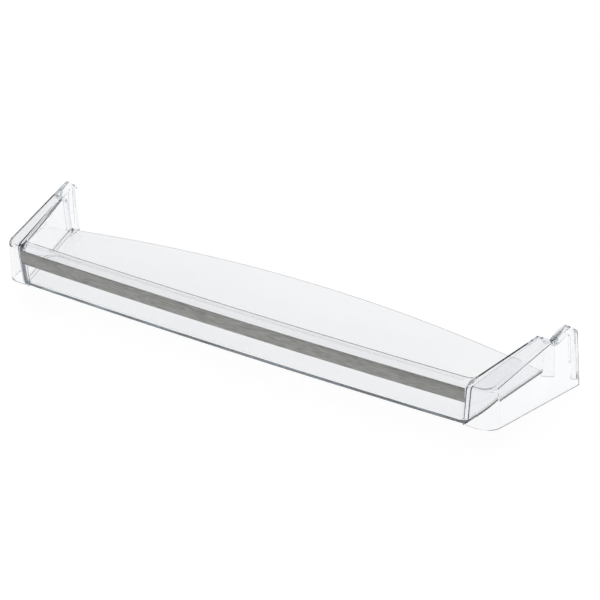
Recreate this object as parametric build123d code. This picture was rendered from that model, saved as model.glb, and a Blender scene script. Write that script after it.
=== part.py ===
# Clear door shelf of a refrigerator: a shallow moulded tray with hollow hanging ends and a silver trim strip.
# Units are millimetres. X runs along the shelf, the front wall faces -Y and +Z is up.
# While it is built, Y = 0 is the line of the front corners and Z = 0 the underside of the tray's floor.
# The finished solids are moved so that the origin is the middle of the footprint at the lowest edge.
import os
from math import atan2, cos, radians, sin, sqrt, tan

from build123d import *

# Tray
front_half_length = 207.0     # middle to the front corner, at the floor
front_bow = 2.8               # how far the middle of the front wall stands ahead of its corners
tray_height = 37.2            # underside of the floor to the top of the end panels
wall = 2.2                    # front wall, end panels, lip and hanging ends
floor_thickness = 2.0
floor_reach = 112.0           # front corners to the rear edge of the floor, at the middle
end_length = 88.0             # front corners to the rear end of an end panel
end_splay = 12.0              # degrees, the end panels open out towards the rear
mould_draft = 3.0             # degrees, the lean that lets the moulding leave its tool
lip_radius = 6.0              # round of the front wall into its lip
lip_depth = 9.5               # front face to the edge of the lip
inner_corner_radius = 7.0
floor_round = 3.0             # inside, where the floor meets the walls
rim_round = 0.4               # inner edge of the rim
foot_round = 2.4              # outside, along the foot of the front wall and the end panels
saddle_length = 6.0           # rear end of an end panel forward to where its top starts to fall
saddle_drop = 6.6             # top of an end panel down to the saddle before the cap

# Hanging ends
end_setback = 2.0             # front corner back to the face of a hanging end, at the floor
end_corner_radius = 14.0
end_overhang = 17.6           # rear corner of an end panel out to the rear corner of the outer wall, at the floor
outer_splay = 8.0             # degrees, the outer walls open out less than the end panels
roof_drop = 4.0               # top of an end panel down to the roof of a hanging end, at the front
roof_round = 3.4
foot_start_drop = 1.0         # underside of the floor down to the outer wall's foot at the front
foot_fall = 10.1              # degrees, the foot of the outer wall falls towards the rear

# Channel that hangs on the door
channel_width = 18.0          # between the two return flanges
flange_slant = 20.0           # degrees, the return flanges lean to the rear as they go outwards
panel_flange_length = 8.0     # return flange on the end panel
outer_flange_length = 5.0     # return flange inside the outer wall
panel_flange_drop = 2.0       # underside of the floor down to the foot of the panel's flange
outer_flange_lift = 6.0       # foot of the outer wall up to the foot of its flange
cap_rise = 0.5                # top of an end panel up to the top of the channel's cap
cap_length = 6.0              # level part of the cap, that the roof rises to
corner_cut_length = 11.0      # slope at the rear top corner of the outer wall
corner_cut_height = 10.0
detent_width = 2.4            # upright rib that clicks behind the door's rail
detent_height = 1.1
detent_foot = 4.0             # underside of the floor up to the rib's foot
detent_length = 25.0

# Trim strip
strip_height = 12.4
strip_foot = 20.9             # underside of the floor up to the strip's lower edge
strip_thickness = 0.8
strip_inset = 0.6             # depth of its recess
strip_end_gap = 1.6           # front corner to the strip's end
strip_clearance = 0.1

# Construction: a reach well past every outline, and how straight an edge runs to count as along an axis
beyond = 60.0
in_line = 25.0                # degrees


def lean(height):
    """Sideways shift of a drafted wall over a height."""
    return height * tan(radians(mould_draft))


bow_radius = (front_half_length**2 + front_bow**2) / (2 * front_bow)
bow_centre = bow_radius - front_bow
panel_rear_x = front_half_length + end_length * tan(radians(end_splay))
end_half_length = panel_rear_x + end_overhang
floor_sag = floor_reach - end_length
floor_radius = (panel_rear_x**2 + floor_sag**2) / (2 * floor_sag)
floor_centre = floor_reach - floor_radius
outward = Vector(cos(radians(flange_slant)), sin(radians(flange_slant)))
forward = Vector(sin(radians(flange_slant)), -cos(radians(flange_slant)))
flange_root = Vector(panel_rear_x - wall, end_length)
channel_step = channel_width + wall / cos(radians(flange_slant))
end_reach = end_length + (end_half_length - flange_root.X) * tan(radians(flange_slant)) + channel_step
panel_tip = flange_root + outward * (panel_flange_length + wall)
roof_height = tray_height - roof_drop
cap_height = tray_height + cap_rise
foot_drop = foot_start_drop + end_reach * tan(radians(foot_fall))
wide = end_half_length + beyond
tall = tray_height + beyond
deep = foot_drop + beyond


def front_y(x, setback):
    """Y of the bowed front face, or of a line set back from it."""
    return bow_centre - sqrt((bow_radius - setback) ** 2 - x**2)


def front_line(setback, reach):
    """The bowed front line from left to right."""
    end = front_y(reach, setback)
    return ThreePointArc((-reach, end), (0, setback - front_bow), (reach, end))


def behind_front(setback, rear):
    """Plan of everything from a front line to a straight rear line."""
    front = front_line(setback, wide)
    return make_face(front + Polyline(front @ 1, (wide, rear), (-wide, rear), front @ 0))


def between_ends(inset):
    """Wedge between the two leaning end planes, set in by a thickness."""
    slope = tan(radians(end_splay))
    inward = inset / cos(radians(end_splay))
    near, far = -beyond, end_reach + beyond
    layers = []
    for level in (-deep, tall):
        near_x = front_half_length + near * slope + lean(level) - inward
        far_x = front_half_length + far * slope + lean(level) - inward
        outline = Polyline((-near_x, near), (near_x, near), (far_x, far), (-far_x, far), close=True)
        layers.append(Pos(0, 0, level) * make_face(outline))
    return loft(layers, ruled=True)


def tray_block():
    """Outside of the tray: bowed front, leaning ends and curved rear, with the round of the lip."""
    front = front_line(0, wide)
    rear_y = floor_centre + sqrt(floor_radius**2 - wide**2)
    rear = ThreePointArc((wide, rear_y), (0, floor_reach), (-wide, rear_y))
    plan = make_face(front + Line(front @ 1, rear @ 0) + rear + Line(rear @ 1, front @ 0))
    block = extrude(plan, tray_height) & between_ends(0)
    top_front = block.edges().group_by(Axis.Z)[-1].sort_by(Axis.Y)[0]
    block = fillet(top_front, lip_radius)
    foot = block.edges().group_by(Axis.Z)[0].sort_by(Axis.Y)[:3]
    return fillet(foot, foot_round)


def front_corners(block):
    """The two upright edges at the front of a block."""
    uprights = block.edges().filter_by(lambda edge: abs(edge.tangent_at(0.5).Z) > cos(radians(in_line)))
    return uprights.sort_by(Axis.Y)[:2]


def tray_hollow():
    """Inside of the tray: the room under the lip, and the mouth behind it."""
    rear = end_reach + beyond
    room = Pos(0, 0, floor_thickness) * extrude(behind_front(wall, rear), tray_height - wall - floor_thickness)
    room = room & between_ends(wall)
    room = fillet(front_corners(room), inner_corner_radius)
    low = room.edges().group_by(Axis.Z)[0].sort_by(Axis.Y)[:-1]
    room = fillet(low, floor_round)
    under_lip = room.edges().group_by(Axis.Z)[-1].sort_by(Axis.Y)[0]
    room = fillet(under_lip, lip_radius - wall)
    mouth = Pos(0, 0, floor_thickness + floor_round) * extrude(behind_front(lip_depth, rear), tall)
    mouth = mouth & between_ends(wall)
    return room + fillet(front_corners(mouth), inner_corner_radius)


def rounded_rim(body):
    """Rounds the rim's inner edge, along the lip, round the corners and along the end panels."""
    behind_lip = (lip_radius + lip_depth) / 2 - front_bow

    def inner(edge):
        at = edge.center()
        mid_wall = front_half_length + at.Y * tan(radians(end_splay)) + lean(tray_height) - wall / 2
        return abs(at.X) < mid_wall and behind_lip < at.Y < end_length - wall

    return fillet(body.edges().group_by(Axis.Z)[-1].filter_by(inner), rim_round)


def tray_core():
    """Room of the tray out to the middle of its walls' thickness, where the hanging ends take hold."""
    core = split(between_ends(wall / 2), bisect_by=Plane.XY.offset(floor_thickness / 2), keep=Keep.TOP)
    foot = core.edges().group_by(Axis.Z)[0].sort_by(Axis.Y)[1:3]
    return fillet(foot, foot_round - wall / 2)


def outer_wall_x(y, level, inset):
    """X of the right outer wall at a depth and a height, set in by a thickness."""
    slope = tan(radians(outer_splay))
    return end_half_length + (y - end_reach) * slope - (lean(level) + inset) / cos(radians(outer_splay))


def end_plan(inset):
    """Plan of the right hanging end, far below its lowest edge, where its draft makes it widest."""
    inside = front_half_length - beyond
    front = end_setback + lean(-deep) + inset
    rear = end_reach + beyond
    corner = (outer_wall_x(front, -deep, inset), front)
    outline = make_face(
        Polyline((inside, front), corner, (outer_wall_x(rear, -deep, inset), rear), (inside, rear), close=True)
    )
    rounded = outline.vertices().sort_by_distance((*corner, 0))[0]
    return fillet(rounded, end_corner_radius + lean(deep) - inset)


def end_profile(inset):
    """Side outline of a hanging end: sloping foot, roof that rises to the cap, and cut rear corner."""
    open_foot = beyond if inset else 0
    fall = tan(radians(foot_fall))
    ahead, rear = -beyond, end_reach + open_foot
    cap = cap_height - inset
    cut_slope = corner_cut_height / corner_cut_length
    cap_rear = end_reach - corner_cut_length - inset * tan(atan2(corner_cut_height, corner_cut_length) / 2)
    cap_front = end_reach - corner_cut_length - cap_length
    climb = (cap_height - roof_height) / (cap_front - end_setback)
    outline = Polyline(
        (cap_front, cap),
        (cap_rear, cap),
        (rear, cap - cut_slope * (rear - cap_rear)),
        (rear, -foot_start_drop - open_foot - fall * rear),
        (ahead, -foot_start_drop - open_foot - fall * ahead),
        (ahead, cap - climb * (cap_front - ahead)),
        close=True,
    )
    return Plane.YZ * make_face(outline)


def end_block(inset):
    """Right hanging end as a drafted block cut to its side outline."""
    block = Pos(0, 0, -deep) * extrude(end_plan(inset), deep + tall, taper=mould_draft)
    return block & extrude(end_profile(inset), wide)


def saddle(inset):
    """Dip from the top of an end panel to its return flange, inboard of the cap, set out by a thickness."""
    slope = atan2(saddle_drop, saddle_length)
    foot, low = end_length - inset * tan(slope / 2), tray_height - saddle_drop - inset
    rear = end_reach + beyond
    outline = Polyline((foot, low), (rear, low), (rear, tall), (foot - (tall - low) / tan(slope), tall), close=True)
    return extrude(Plane.YZ * make_face(outline), panel_tip.X + wall / 2 + inset, both=True)


def prism(outline, low, high):
    """Prism over a closed outline, between two heights."""
    return Pos(0, 0, low) * extrude(make_face(Polyline(*outline, close=True)), high - low)


def right_end():
    """Right hanging end: outer wall, roof and cap, the two return flanges and the detent rib."""
    outer_corner = Vector(end_half_length, end_reach)
    inner_face_x = outer_wall_x(end_reach, 0, wall)
    outer_tip = outer_corner - outward * (outer_flange_length + (end_half_length - inner_face_x))
    outer_foot = -foot_drop + outer_flange_lift

    core = tray_core()
    block = rounded_roof(end_block(0), roof_round) - saddle(0)
    shell = block - (rounded_roof(end_block(wall), roof_round - wall) - saddle(wall))
    shell = shell - core - between_ends(wall / 2 + foot_round)
    mouth = [
        flange_root - outward * beyond,
        panel_tip,
        outer_tip + forward * wall,
        outer_tip,
        outer_tip + Vector(0, beyond),
        flange_root + Vector(-beyond, beyond),
    ]
    shell = shell - prism(mouth, -deep, tall)
    panel_flange = prism(
        [flange_root, panel_tip, panel_tip + forward * wall, flange_root + forward * wall],
        -panel_flange_drop, tall
    )
    outer_flange = prism(
        [outer_tip, outer_corner, outer_corner + forward * wall, outer_tip + forward * wall],
        outer_foot, tall
    )
    flanges = (panel_flange - core) + outer_flange
    return shell + (flanges & block) + detent_rib()


def rounded_roof(block, radius):
    """Rounds the outer edge of the roof, from the front face round the corner to the cap."""
    def on_roof(edge):
        at = edge.center()
        along = abs(edge.tangent_at(0.5).X) < cos(radians(in_line)) or at.Y < end_corner_radius
        outside = at.X > front_half_length + wall and at.Y < end_reach - corner_cut_length
        return along and outside and at.Z > roof_height - wall - roof_round / 2

    return fillet(block.edges().filter_by(on_roof), radius)


def detent_rib():
    """Upright rib on the inner face of the right outer wall, in the middle of the channel."""
    splay, draft = radians(outer_splay), radians(mould_draft)
    y = end_reach - channel_step / 2
    z = detent_foot + detent_length / 2
    inward = Vector(-cos(splay) * cos(draft), sin(splay) * cos(draft), -sin(draft))
    face = Plane(
        origin=(outer_wall_x(y, z, wall), y, z), x_dir=(sin(splay), cos(splay), 0), z_dir=inward
    )
    rib = extrude(SlotOverall(detent_length, detent_width, rotation=90), detent_height + wall / 2)
    rib = fillet(rib.edges().group_by(Axis.Z)[-1], detent_height / 2)
    return face * Pos(0, 0, -wall / 2) * rib


def front_band(outside, inside, half_length, low, high):
    """Piece of the bowed front wall between two setbacks, two ends and two heights."""
    front, back = front_line(outside, half_length), front_line(inside, half_length)
    plan = make_face(front + Line(front @ 1, back @ 1) + back + Line(back @ 0, front @ 0))
    return Pos(0, 0, low) * extrude(plan, high - low)


strip_top = strip_foot + strip_height
strip_half_length = front_half_length + lean(strip_foot) - strip_end_gap


def tray():
    """The whole clear moulding, with the recess for the trim strip."""
    end = right_end()
    body = rounded_rim(tray_block() - tray_hollow())
    body = body - saddle(0) + end + mirror(end, about=Plane.YZ)
    recess = front_band(
        -lip_radius, strip_inset, strip_half_length + strip_clearance,
        strip_foot - strip_clearance, strip_top + strip_clearance
    )
    return body - recess


def trim_strip():
    """The silver strip, seated on the floor of its recess."""
    return front_band(strip_inset - strip_thickness, strip_inset, strip_half_length, strip_foot, strip_top)


if __name__ == "__main__":
    os.makedirs("parts", exist_ok=True)
    foremost = -front_bow - (strip_thickness - strip_inset)
    to_origin = Pos(0, -(end_reach + foremost) / 2, foot_drop)
    for name, piece in {"tray": tray(), "trim_strip": trim_strip()}.items():
        export_step(to_origin * piece, f"parts/{name}.step")
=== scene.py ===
"""Clear refrigerator door shelf: dresses the moulded tray and its silver strip, and sets up the studio."""

from math import cos, radians, sin

import bmesh
import bpy
from bpy.props import FloatProperty, FloatVectorProperty, PointerProperty
from mathutils import Matrix, Vector


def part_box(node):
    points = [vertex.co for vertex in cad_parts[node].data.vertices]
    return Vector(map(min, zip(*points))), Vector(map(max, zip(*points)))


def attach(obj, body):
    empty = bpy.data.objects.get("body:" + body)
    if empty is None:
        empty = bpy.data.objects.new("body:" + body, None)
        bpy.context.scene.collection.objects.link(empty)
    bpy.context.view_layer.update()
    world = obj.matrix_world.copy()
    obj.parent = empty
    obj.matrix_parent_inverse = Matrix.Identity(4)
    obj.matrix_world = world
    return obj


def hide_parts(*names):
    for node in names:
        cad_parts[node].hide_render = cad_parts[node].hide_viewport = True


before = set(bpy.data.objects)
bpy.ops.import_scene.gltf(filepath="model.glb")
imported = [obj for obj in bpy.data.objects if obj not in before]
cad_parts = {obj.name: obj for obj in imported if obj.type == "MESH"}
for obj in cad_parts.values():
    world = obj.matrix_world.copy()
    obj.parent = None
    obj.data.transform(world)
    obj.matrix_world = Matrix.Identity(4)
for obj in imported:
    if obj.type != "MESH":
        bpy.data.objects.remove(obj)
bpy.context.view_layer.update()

# Lengths are in metres.
ROUND_ROWS = 6  # cuts across each face of a round
JOIN = 1e-6  # points nearer than this are one point
ON_ROUND = 3e-5  # a point this near to a round lies on it
SHARP = radians(50)  # faces that meet more sharply than this form an edge
LEVEL = 0.0001  # rise of an edge that still counts as level
STEEP = 0.9  # rise of an edge that counts as upright, as a share of its length
LONG_EDGE = 0.005  # an upright edge is rounded if it is longer than this
UPRIGHT_SHARE = 0.7  # round of an upright rear edge, as a share of the floor's
STRIP_PLAY = 0.0003  # reach above and below the strip that still belongs to its recess
NOISE_LOW, NOISE_HIGH = 0.35, 0.65  # the middle of the noise, where most of it lies

bl_info = {
    "name": "Clear Door Shelf",
    "version": (1, 0, 0),
    "blender": (4, 5, 0),
    "location": "View3D > Sidebar > Door Shelf",
    "description": "Finishes a clear door shelf with a brushed trim strip and lights it for a picture",
    "category": "Object",
}


class TrayMoulding(bpy.types.PropertyGroup):
    """Sizes of the moulding as the solids have them, and the small changes made for the finish."""

    front_half_length: FloatProperty(
        name="Front Half Length", description="Middle of the front wall to its corner", unit="LENGTH",
        default=0.207,
    )
    front_bow: FloatProperty(
        name="Front Bow", description="How far the middle of the front wall stands ahead of its corners",
        unit="LENGTH", default=0.0028, precision=4,
    )
    front_place: FloatProperty(
        name="Front Place", description="Foremost line of the front wall", unit="LENGTH",
        default=-0.059074, precision=5,
    )
    lip_radius: FloatProperty(
        name="Lip Radius", description="Round of the front wall into its lip", unit="LENGTH", default=0.006
    )
    lip_level: FloatProperty(
        name="Lip Level", description="Height of the top of the lip", unit="LENGTH", default=0.058782,
        precision=5,
    )
    foot_radius: FloatProperty(
        name="Foot Radius", description="Round along the foot of the front wall", unit="LENGTH",
        default=0.0024, precision=4,
    )
    floor_level: FloatProperty(
        name="Floor Level", description="Height of the floor's underside", unit="LENGTH", default=0.021582,
        precision=5,
    )
    floor_thickness: FloatProperty(
        name="Floor Thickness", description="Thickness of the floor", unit="LENGTH", default=0.002
    )
    strip_recess: FloatProperty(
        name="Strip Recess", description="Depth of the strip's recess in the front wall", unit="LENGTH",
        default=0.0006, precision=5,
    )
    strip_gap: FloatProperty(
        name="Strip Gap", description="Hair's breadth between the strip and the back of its recess",
        unit="LENGTH", default=0.00006, precision=6,
    )
    rear_start: FloatProperty(
        name="Rear Start", description="Line behind which the upright edges are rounded", unit="LENGTH",
        default=0.03,
    )
    edge_round: FloatProperty(
        name="Edge Round", description="Round on the rear edges of the floor", unit="LENGTH",
        default=0.0008, precision=4,
    )


class ClearPlasticLook(bpy.types.PropertyGroup):
    """Finish of the clear moulding."""

    refraction: FloatProperty(
        name="Refraction", description="Index of refraction of the clear styrene", default=1.585,
        min=1.3, max=2.0,
    )
    depth_colour: FloatVectorProperty(
        name="Depth Colour", description="Colour that light keeps on its way through the plastic",
        subtype="COLOR", size=3, min=0.0, max=1.0, default=(0.75, 0.785, 0.81),
    )
    depth_density: FloatProperty(
        name="Depth Density", description="How quickly the plastic takes light, per metre", default=42.0,
        min=0.0,
    )
    thin_tint: FloatVectorProperty(
        name="Thin Tint", description="Tint of the streaks left where the melt flowed",
        subtype="COLOR", size=3, min=0.0, max=1.0, default=(0.968, 0.97, 0.98),
    )
    clear_tint: FloatVectorProperty(
        name="Clear Tint", description="Tint of the plastic between the flow streaks",
        subtype="COLOR", size=3, min=0.0, max=1.0, default=(0.985, 0.987, 0.995),
    )
    polish: FloatProperty(
        name="Polish", description="Roughness of the polished surface where it is clearest",
        subtype="FACTOR", default=0.0, min=0.0, max=1.0,
    )
    haze: FloatProperty(
        name="Haze", description="Roughness where handling has dulled the surface",
        subtype="FACTOR", default=0.03, min=0.0, max=1.0,
    )
    ripple: FloatProperty(
        name="Ripple", description="Height of the slow ripple in the moulded faces",
        unit="LENGTH", default=0.00006, min=0.0, precision=6,
    )


class BrushedStripLook(bpy.types.PropertyGroup):
    """Finish of the silver trim strip."""

    dark_line: FloatVectorProperty(
        name="Dark Line", description="Colour in the grooves of the brushing",
        subtype="COLOR", size=3, min=0.0, max=1.0, default=(0.2, 0.199, 0.19),
    )
    light_line: FloatVectorProperty(
        name="Light Line", description="Colour on the ridges of the brushing",
        subtype="COLOR", size=3, min=0.0, max=1.0, default=(0.375, 0.376, 0.363),
    )
    brush_pitch: FloatProperty(
        name="Brush Pitch", description="Width of the finest brush line", unit="LENGTH", default=0.0006,
        min=0.00005, precision=6,
    )
    brush_length: FloatProperty(
        name="Brush Length", description="Length of a brush line", unit="LENGTH", default=0.008, min=0.001
    )
    groove_dullness: FloatProperty(
        name="Groove Dullness", description="Roughness in the grooves of the brushing",
        subtype="FACTOR", default=0.34, min=0.0, max=1.0,
    )
    ridge_dullness: FloatProperty(
        name="Ridge Dullness", description="Roughness on the ridges of the brushing",
        subtype="FACTOR", default=0.5, min=0.0, max=1.0,
    )
    groove_depth: FloatProperty(
        name="Groove Depth", description="Depth of the brushing", unit="LENGTH", default=0.00002, min=0.0,
        precision=6,
    )
    edge_round: FloatProperty(
        name="Edge Round", description="Round on the strip's cut edges", unit="LENGTH", default=0.00012,
        min=0.0, precision=6,
    )


class StudioSettings(bpy.types.PropertyGroup):
    """Table, lights and camera."""

    floor_size: FloatProperty(
        name="Floor Size", description="Side of the white table", unit="LENGTH", default=14.0, min=1.0
    )
    floor_colour: FloatVectorProperty(
        name="Floor Colour", description="Colour of the table's surface, apart from its glow",
        subtype="COLOR", size=3, min=0.0, max=1.0, default=(0.12, 0.12, 0.12),
    )
    floor_glow: FloatProperty(
        name="Floor Glow", description="Light that comes up through the table", default=0.92, min=0.0
    )
    sky: FloatProperty(
        name="Room Light", description="Strength of the room's light from above", default=0.6, min=0.0
    )
    horizon: FloatProperty(
        name="Horizon Light", description="Strength of the room's light towards the horizon", default=0.1,
        min=0.0,
    )
    horizon_top: FloatProperty(
        name="Horizon Top", description="Rise of a direction up to which the horizon's light holds",
        subtype="FACTOR", default=0.1, min=0.0, max=1.0,
    )
    sky_foot: FloatProperty(
        name="Sky Foot", description="Rise of a direction from which the light from above holds",
        subtype="FACTOR", default=0.6, min=0.0, max=1.0,
    )
    softbox_power: FloatProperty(
        name="Softbox Power", description="Power of the large overhead softbox", unit="POWER", default=3.0,
        min=0.0,
    )
    lens: FloatProperty(
        name="Lens", description="Focal length of the camera", subtype="DISTANCE_CAMERA", default=129.3,
        min=10.0,
    )
    azimuth: FloatProperty(
        name="Azimuth", description="Camera's turn to the right of the shelf's front",
        subtype="ANGLE", default=radians(33.8),
    )
    elevation: FloatProperty(
        name="Elevation", description="Camera's height above the level of the shelf",
        subtype="ANGLE", default=radians(32.6),
    )
    roll: FloatProperty(
        name="Roll", description="Camera's roll about its own axis", subtype="ANGLE", default=radians(-3.06)
    )
    distance: FloatProperty(
        name="Distance", description="Camera to the point that it looks at", unit="LENGTH", default=1.619,
        min=0.1,
    )
    target: FloatVectorProperty(
        name="Target", description="Point that the camera looks at",
        subtype="TRANSLATION", size=3, default=(0.0665, -0.0563, 0.0893),
    )


class NodeBench:
    """Adds nodes to a material or a world and joins them by name."""

    def __init__(self, owner):
        owner.use_nodes = True
        self.tree = owner.node_tree
        self.tree.nodes.clear()

    def add(self, kind, **settings):
        node = self.tree.nodes.new(kind)
        for name, value in settings.items():
            if name in node.inputs:
                node.inputs[name].default_value = value
            else:
                setattr(node, name, value)
        return node

    def join(self, source, output, target, entry):
        self.tree.links.new(source.outputs[output], target.inputs[entry])


def streaks(bench, stretch, scale, detail):
    """Noise in the shelf's own frame, drawn out along its axes."""
    place = bench.add("ShaderNodeTexCoord")
    mapping = bench.add("ShaderNodeMapping")
    mapping.inputs["Scale"].default_value = stretch
    noise = bench.add("ShaderNodeTexNoise", Scale=scale, Detail=detail)
    bench.join(place, "Object", mapping, "Vector")
    bench.join(mapping, "Vector", noise, "Vector")
    return noise


def blend_between(bench, noise, low, high):
    """Colour that goes from low to high with the noise."""
    ramp = bench.add("ShaderNodeValToRGB")
    ramp.color_ramp.elements[0].position = NOISE_LOW
    ramp.color_ramp.elements[0].color = (*low, 1.0)
    ramp.color_ramp.elements[1].position = NOISE_HIGH
    ramp.color_ramp.elements[1].color = (*high, 1.0)
    bench.join(noise, "Fac", ramp, "Fac")
    return ramp


def range_between(bench, noise, low, high):
    """Number that goes from low to high with the noise."""
    span = bench.add("ShaderNodeMapRange")
    span.inputs["From Min"].default_value = NOISE_LOW
    span.inputs["From Max"].default_value = NOISE_HIGH
    span.inputs["To Min"].default_value = low
    span.inputs["To Max"].default_value = high
    bench.join(noise, "Fac", span, "Value")
    return span


def clear_styrene(look):
    """Clear styrene: faint flow streaks, a slow ripple, some haze, and colour that gathers with depth."""
    material = bpy.data.materials.new("clear_styrene")
    bench = NodeBench(material)
    flow = streaks(bench, stretch=(0.35, 1.0, 1.0), scale=28.0, detail=2.0)
    tint = blend_between(bench, flow, look.thin_tint, look.clear_tint)
    handling = streaks(bench, stretch=(1.0, 1.0, 1.0), scale=210.0, detail=4.0)
    dullness = range_between(bench, handling, look.polish, look.haze)
    ripple = bench.add("ShaderNodeBump", Strength=1.0, Distance=look.ripple)
    plastic = bench.add("ShaderNodeBsdfPrincipled", IOR=look.refraction)
    plastic.inputs["Transmission Weight"].default_value = 1.0
    depth = bench.add("ShaderNodeVolumeAbsorption", Density=look.depth_density)
    depth.inputs["Color"].default_value = (*look.depth_colour, 1.0)
    out = bench.add("ShaderNodeOutputMaterial")
    bench.join(flow, "Fac", ripple, "Height")
    bench.join(tint, "Color", plastic, "Base Color")
    bench.join(dullness, "Result", plastic, "Roughness")
    bench.join(ripple, "Normal", plastic, "Normal")
    bench.join(plastic, "BSDF", out, "Surface")
    bench.join(depth, "Volume", out, "Volume")
    return material


def brushed_silver(look):
    """Silver brushed along the strip: drawn-out lines in colour, roughness and height."""
    material = bpy.data.materials.new("brushed_silver")
    bench = NodeBench(material)
    along = 1.0 / look.brush_length
    across = 1.0 / look.brush_pitch
    lines = streaks(bench, stretch=(along, along, across), scale=1.0, detail=5.0)
    colour = blend_between(bench, lines, look.dark_line, look.light_line)
    dullness = range_between(bench, lines, look.groove_dullness, look.ridge_dullness)
    grooves = bench.add("ShaderNodeBump", Strength=1.0, Distance=look.groove_depth)
    silver = bench.add("ShaderNodeBsdfPrincipled", Metallic=0.9, Anisotropic=0.6)
    direction = bench.add("ShaderNodeTangent", direction_type="RADIAL", axis="Z")
    out = bench.add("ShaderNodeOutputMaterial")
    bench.join(lines, "Fac", grooves, "Height")
    bench.join(colour, "Color", silver, "Base Color")
    bench.join(dullness, "Result", silver, "Roughness")
    bench.join(grooves, "Normal", silver, "Normal")
    bench.join(direction, "Tangent", silver, "Tangent")
    bench.join(silver, "BSDF", out, "Surface")
    return material


def front_bow_radius(moulding):
    """Radius of the front wall's bow, from its length and how far it stands forward."""
    half, bow = moulding.front_half_length, moulding.front_bow
    return (half**2 + bow**2) / (2 * bow)


class FrontRound:
    """A round along the bowed front wall: a ring of one radius about a bowed core line."""

    def __init__(self, moulding, radius, level):
        bow_radius = front_bow_radius(moulding)
        self.bow_centre = moulding.front_place + bow_radius
        self.core_radius = bow_radius - radius
        self.radius = radius
        self.level = level

    def outward(self, point):
        """Vector from the core line to a point."""
        flat = Vector((point.x, point.y - self.bow_centre, 0.0)).normalized() * self.core_radius
        return point - Vector((flat.x, flat.y + self.bow_centre, self.level))

    def holds(self, face):
        """True if all corners of a face lie on the round."""
        return all(abs(self.outward(vert.co).length - self.radius) < ON_ROUND for vert in face.verts)

    def settle(self, vert):
        """Moves a point to the nearest place on the round."""
        away = self.outward(vert.co)
        vert.co += away.normalized() * (self.radius - away.length)


def even_round(form, ring, mark, number):
    """Divides the faces on a round into even rows and settles the new points on it."""
    patch = [face for face in form.faces if ring.holds(face)]
    if not patch:
        raise RuntimeError("The tray has no faces on a round of its front")
    for face in patch:
        face[mark] = number
    inner = [edge for edge in form.edges if all(face[mark] == number for face in edge.link_faces)]
    made = bmesh.ops.subdivide_edges(form, edges=inner, cuts=ROUND_ROWS, use_grid_fill=True)
    for item in made["geom_inner"]:
        if isinstance(item, bmesh.types.BMVert):
            ring.settle(item)


def free_strip(form, moulding):
    """Sets the back of the strip's recess a hair's breadth behind the strip, so that they share no face."""
    bow_radius = front_bow_radius(moulding)
    centre = Vector((0.0, moulding.front_place + bow_radius, 0.0))
    low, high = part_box("trim_strip")
    for vert in form.verts:
        inward = centre - Vector((vert.co.x, vert.co.y, 0.0))
        depth = bow_radius - inward.length
        beside = low[2] - STRIP_PLAY < vert.co.z < high[2] + STRIP_PLAY
        if beside and abs(depth - moulding.strip_recess) < ON_ROUND:
            vert.co += inward.normalized() * moulding.strip_gap


def edge_share(edge, moulding):
    """Share of the floor's edge round that an edge gets: all at the rear of the floor, less if upright."""
    if len(edge.link_faces) != 2 or not edge.is_convex or edge.calc_face_angle() < SHARP:
        return 0.0
    low, high = sorted((vert.co for vert in edge.verts), key=lambda place: place.z)
    if min(low.y, high.y) < moulding.rear_start:
        return 0.0
    rise = high.z - low.z
    floor_top = moulding.floor_level + moulding.floor_thickness
    if rise < LEVEL and moulding.floor_level - LEVEL < low.z < floor_top + LEVEL:
        return 1.0
    upright = rise > STEEP * (high - low).length
    return UPRIGHT_SHARE if upright and rise > LONG_EDGE else 0.0


def smooth_tray(moulding):
    """Copy of the tray with even rows of faces on the rounds of its front, and its rear edges marked."""
    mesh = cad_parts["tray"].data.copy()
    store = mesh.attributes.new("kept_normal", "FLOAT_VECTOR", "CORNER")
    for corner, normal in zip(store.data, mesh.corner_normals):
        corner.vector = normal.vector
    rounds = (
        FrontRound(moulding, moulding.lip_radius, moulding.lip_level - moulding.lip_radius),
        FrontRound(moulding, moulding.foot_radius, moulding.floor_level + moulding.foot_radius),
    )
    form = bmesh.new()
    form.from_mesh(mesh)
    bmesh.ops.remove_doubles(form, verts=form.verts, dist=JOIN)
    mark = form.faces.layers.int.new("front_round")
    for number, ring in enumerate(rounds, start=1):
        even_round(form, ring, mark, number)
    free_strip(form, moulding)
    share = form.edges.layers.float.new("bevel_weight_edge")
    for edge in form.edges:
        edge[share] = edge_share(edge, moulding)
    form.to_mesh(mesh)
    form.free()
    marks = mesh.attributes["front_round"].data
    kept = mesh.attributes["kept_normal"].data
    normals = []
    for face in mesh.polygons:
        number = marks[face.index].value
        for loop in face.loop_indices:
            point = mesh.vertices[mesh.loops[loop].vertex_index].co
            away = rounds[number - 1].outward(point) if number else Vector(kept[loop].vector)
            normals.append(away.normalized())
    mesh.normals_split_custom_set(normals)
    for name in ("front_round", "kept_normal"):
        mesh.attributes.remove(mesh.attributes[name])
    return mesh


class SHELF_OT_finish_tray(bpy.types.Operator):
    """Makes the clear tray with even rounds and soft rear edges, and gives it its clear styrene"""

    bl_idname = "shelf.finish_tray"
    bl_label = "Finish Tray"

    def execute(self, context):
        moulding = context.scene.shelf_moulding
        mesh = smooth_tray(moulding)
        mesh.materials.clear()
        mesh.materials.append(clear_styrene(context.scene.shelf_plastic))
        shell = bpy.data.objects.new("clear_tray", mesh)
        context.scene.collection.objects.link(shell)
        edges = shell.modifiers.new("rear_edges", "BEVEL")
        edges.width = moulding.edge_round
        edges.segments = 4
        edges.limit_method = "WEIGHT"
        edges.use_clamp_overlap = False
        edges.harden_normals = True
        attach(shell, "root")
        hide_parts("tray")
        return {"FINISHED"}


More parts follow.
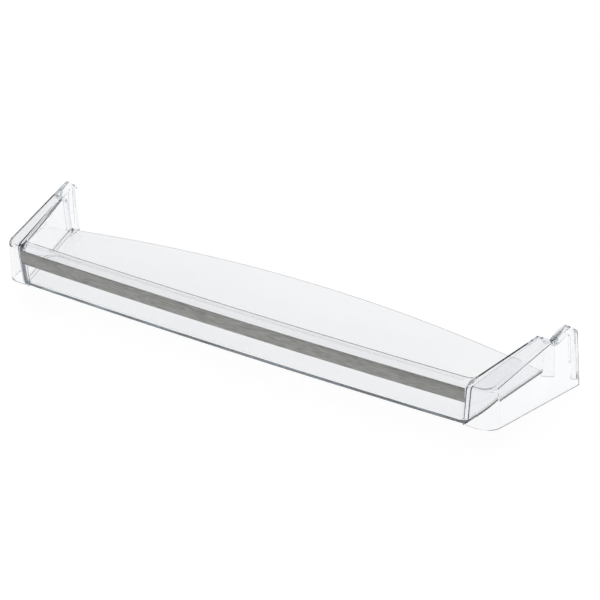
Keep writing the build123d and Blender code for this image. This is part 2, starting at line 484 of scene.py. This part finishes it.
class SHELF_OT_finish_strip(bpy.types.Operator):
    """Gives the trim strip its brushed silver and its rounded edges"""

    bl_idname = "shelf.finish_strip"
    bl_label = "Finish Strip"

    def execute(self, context):
        look = context.scene.shelf_strip
        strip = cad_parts["trim_strip"]
        strip.data.materials.clear()
        strip.data.materials.append(brushed_silver(look))
        weld = strip.modifiers.new("join_faces", "WELD")
        weld.merge_threshold = JOIN
        edge = strip.modifiers.new("cut_edges", "BEVEL")
        edge.width = look.edge_round
        edge.segments = 2
        edge.limit_method = "ANGLE"
        return {"FINISHED"}


def softbox(name, place, aim, size, power):
    """Rectangular soft light that points at a place."""
    light = bpy.data.lights.new(name, "AREA")
    light.shape = "RECTANGLE"
    light.size, light.size_y = size
    light.energy = power
    lamp = bpy.data.objects.new(name, light)
    lamp.location = place
    lamp.rotation_euler = (Vector(aim) - Vector(place)).to_track_quat("-Z", "Y").to_euler()
    bpy.context.scene.collection.objects.link(lamp)


def white_table(studio):
    """Plain table that is white by the light that comes up through it."""
    half = studio.floor_size / 2
    mesh = bpy.data.meshes.new("white_table")
    corners = [(-half, -half, 0), (half, -half, 0), (half, half, 0), (-half, half, 0)]
    mesh.from_pydata(corners, [], [(0, 1, 2, 3)])
    table = bpy.data.objects.new("white_table", mesh)
    bpy.context.scene.collection.objects.link(table)
    material = bpy.data.materials.new("white_acrylic")
    bench = NodeBench(material)
    acrylic = bench.add("ShaderNodeBsdfPrincipled", Roughness=0.6)
    acrylic.inputs["Base Color"].default_value = (*studio.floor_colour, 1.0)
    acrylic.inputs["Emission Color"].default_value = (1.0, 1.0, 1.0, 1.0)
    acrylic.inputs["Emission Strength"].default_value = studio.floor_glow
    out = bench.add("ShaderNodeOutputMaterial")
    bench.join(acrylic, "BSDF", out, "Surface")
    mesh.materials.append(material)


def studio_room(studio):
    """White room whose light falls off towards the horizon, which draws the edges of clear plastic."""
    room = bpy.data.worlds.new("studio_room")
    bench = NodeBench(room)
    place = bench.add("ShaderNodeTexCoord")
    parts = bench.add("ShaderNodeSeparateXYZ")
    height = bench.add("ShaderNodeMapRange")
    height.inputs["From Min"].default_value = studio.horizon_top
    height.inputs["From Max"].default_value = studio.sky_foot
    height.inputs["To Min"].default_value = studio.horizon
    height.inputs["To Max"].default_value = studio.sky
    light = bench.add("ShaderNodeBackground")
    light.inputs["Color"].default_value = (1.0, 1.0, 1.0, 1.0)
    out = bench.add("ShaderNodeOutputWorld")
    bench.join(place, "Generated", parts, "Vector")
    bench.join(parts, "Z", height, "Value")
    bench.join(height, "Result", light, "Strength")
    bench.join(light, "Background", out, "Surface")
    return room


def studio_camera(studio):
    """Camera on a sphere round its target, rolled about its own axis."""
    a, e, r = studio.azimuth, studio.elevation, studio.roll
    back = Vector((sin(a) * cos(e), -cos(a) * cos(e), sin(e)))
    level = Vector((cos(a), sin(a), 0.0))
    rise = back.cross(level)
    right = level * cos(r) + rise * sin(r)
    up = rise * cos(r) - level * sin(r)
    data = bpy.data.cameras.new("studio_camera")
    data.sensor_width = 36.0
    data.lens = studio.lens
    data.clip_end = 100.0
    camera = bpy.data.objects.new("studio_camera", data)
    turn = Matrix((right, up, back)).transposed().to_4x4()
    camera.matrix_world = Matrix.Translation(Vector(studio.target) + back * studio.distance) @ turn
    bpy.context.scene.collection.objects.link(camera)
    bpy.context.scene.camera = camera


class SHELF_OT_build_stage(bpy.types.Operator):
    """Sets up the white table, the soft lights and the camera"""

    bl_idname = "shelf.build_stage"
    bl_label = "Build Stage"

    def execute(self, context):
        studio = context.scene.shelf_studio
        white_table(studio)
        power = studio.softbox_power
        softbox("overhead", place=(0.0, 0.2, 1.5), aim=(0, 0, 0), size=(2.2, 1.6), power=power)
        context.scene.world = studio_room(studio)
        context.scene.view_settings.view_transform = "Standard"
        # Light is reflected many times inside clear plastic before it leaves it.
        context.scene.cycles.max_bounces = 32
        context.scene.cycles.glossy_bounces = 24
        context.scene.cycles.transmission_bounces = 32
        studio_camera(studio)
        return {"FINISHED"}


class SHELF_PT_door_shelf(bpy.types.Panel):
    """Lists the shelf's finishes and its studio"""

    bl_idname = "SHELF_PT_door_shelf"
    bl_label = "Door Shelf"
    bl_space_type = "VIEW_3D"
    bl_region_type = "UI"
    bl_category = "Door Shelf"

    def draw(self, context):
        scene = context.scene
        for settings, operator in (
            (scene.shelf_moulding, None),
            (scene.shelf_plastic, "shelf.finish_tray"),
            (scene.shelf_strip, "shelf.finish_strip"),
            (scene.shelf_studio, "shelf.build_stage"),
        ):
            column = self.layout.column()
            for name in settings.__annotations__:
                column.prop(settings, name)
            if operator:
                column.operator(operator)


CLASSES = (
    TrayMoulding,
    ClearPlasticLook,
    BrushedStripLook,
    StudioSettings,
    SHELF_OT_finish_tray,
    SHELF_OT_finish_strip,
    SHELF_OT_build_stage,
    SHELF_PT_door_shelf,
)


def register():
    for cls in CLASSES:
        bpy.utils.register_class(cls)
    bpy.types.Scene.shelf_moulding = PointerProperty(type=TrayMoulding)
    bpy.types.Scene.shelf_plastic = PointerProperty(type=ClearPlasticLook)
    bpy.types.Scene.shelf_strip = PointerProperty(type=BrushedStripLook)
    bpy.types.Scene.shelf_studio = PointerProperty(type=StudioSettings)


def unregister():
    del bpy.types.Scene.shelf_studio
    del bpy.types.Scene.shelf_strip
    del bpy.types.Scene.shelf_plastic
    del bpy.types.Scene.shelf_moulding
    for cls in reversed(CLASSES):
        bpy.utils.unregister_class(cls)


def main():
    register()
    bpy.ops.shelf.finish_tray()
    bpy.ops.shelf.finish_strip()
    bpy.ops.shelf.build_stage()


if __name__ == "__main__":
    main()
